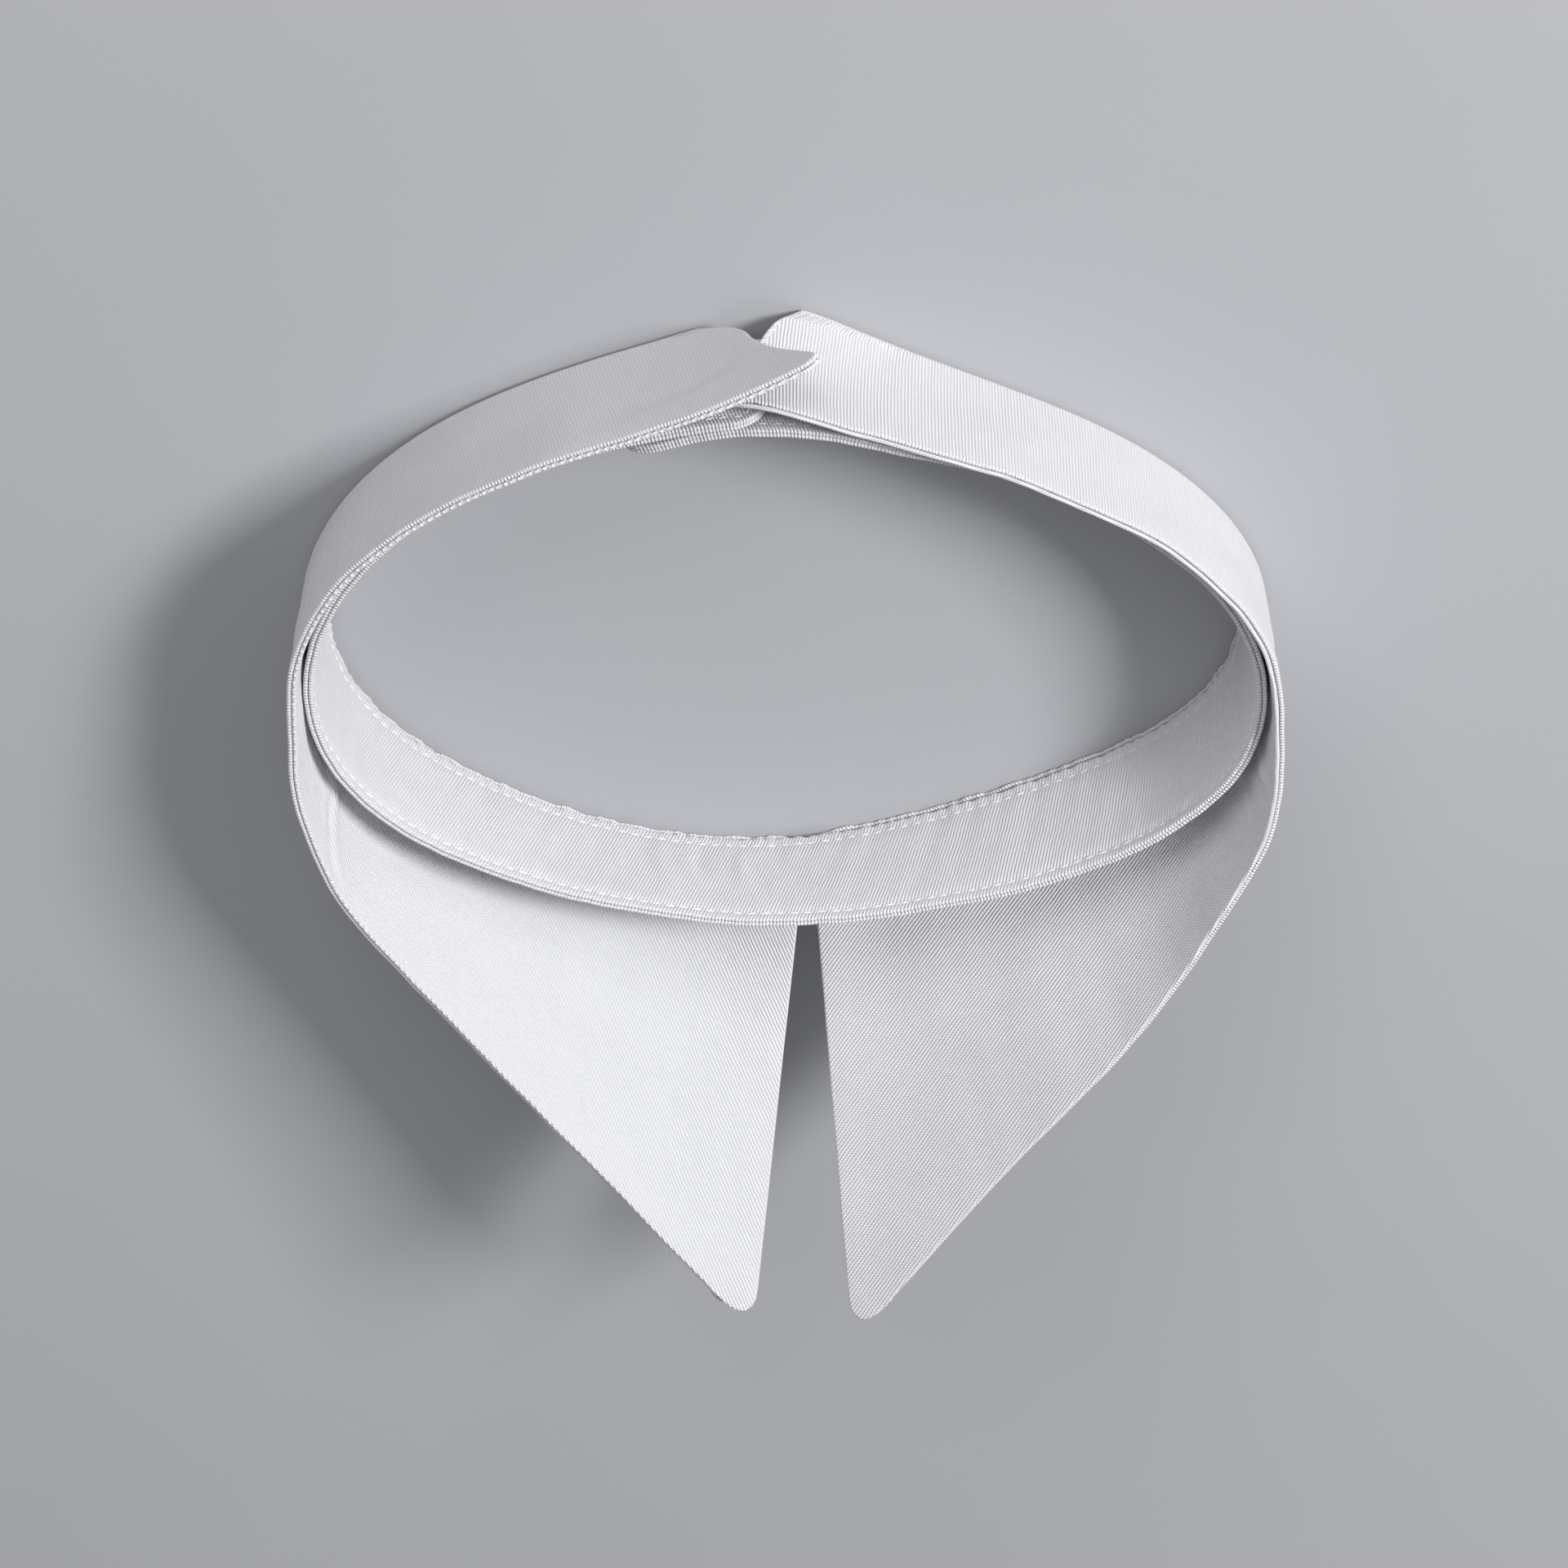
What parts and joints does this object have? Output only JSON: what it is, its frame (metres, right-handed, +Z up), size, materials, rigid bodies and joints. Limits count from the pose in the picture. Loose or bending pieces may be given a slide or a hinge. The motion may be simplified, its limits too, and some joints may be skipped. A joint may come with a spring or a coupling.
{
  "type": "detachable shirt collar",
  "caption": "White cotton twill detachable shirt collar with a narrow stand and pointed leaves, lapped at the centre back and stood hem up on its fold.",
  "frame": {"origin": "centre of the bounding box in plan, on the surface that the folded neck edge stands on", "axes": "+Z up from the fold towards the hem, -Y towards the two points at the front, +Y towards the lapped closure at the centre back, +X to the wearer's right as it stands"},
  "size_m": [0.1472, 0.1702, 0.0426],
  "materials": {
    "cotton_twill": "matt, fine twill weave"
  },
  "bodies": {
    "root": {"stand_inner": "cotton_twill", "stand_outer": "cotton_twill", "leaf_upper_left": "cotton_twill", "leaf_upper_right": "cotton_twill", "leaf_under_left": "cotton_twill", "leaf_under_right": "cotton_twill"}
  },
  "joints": []
}
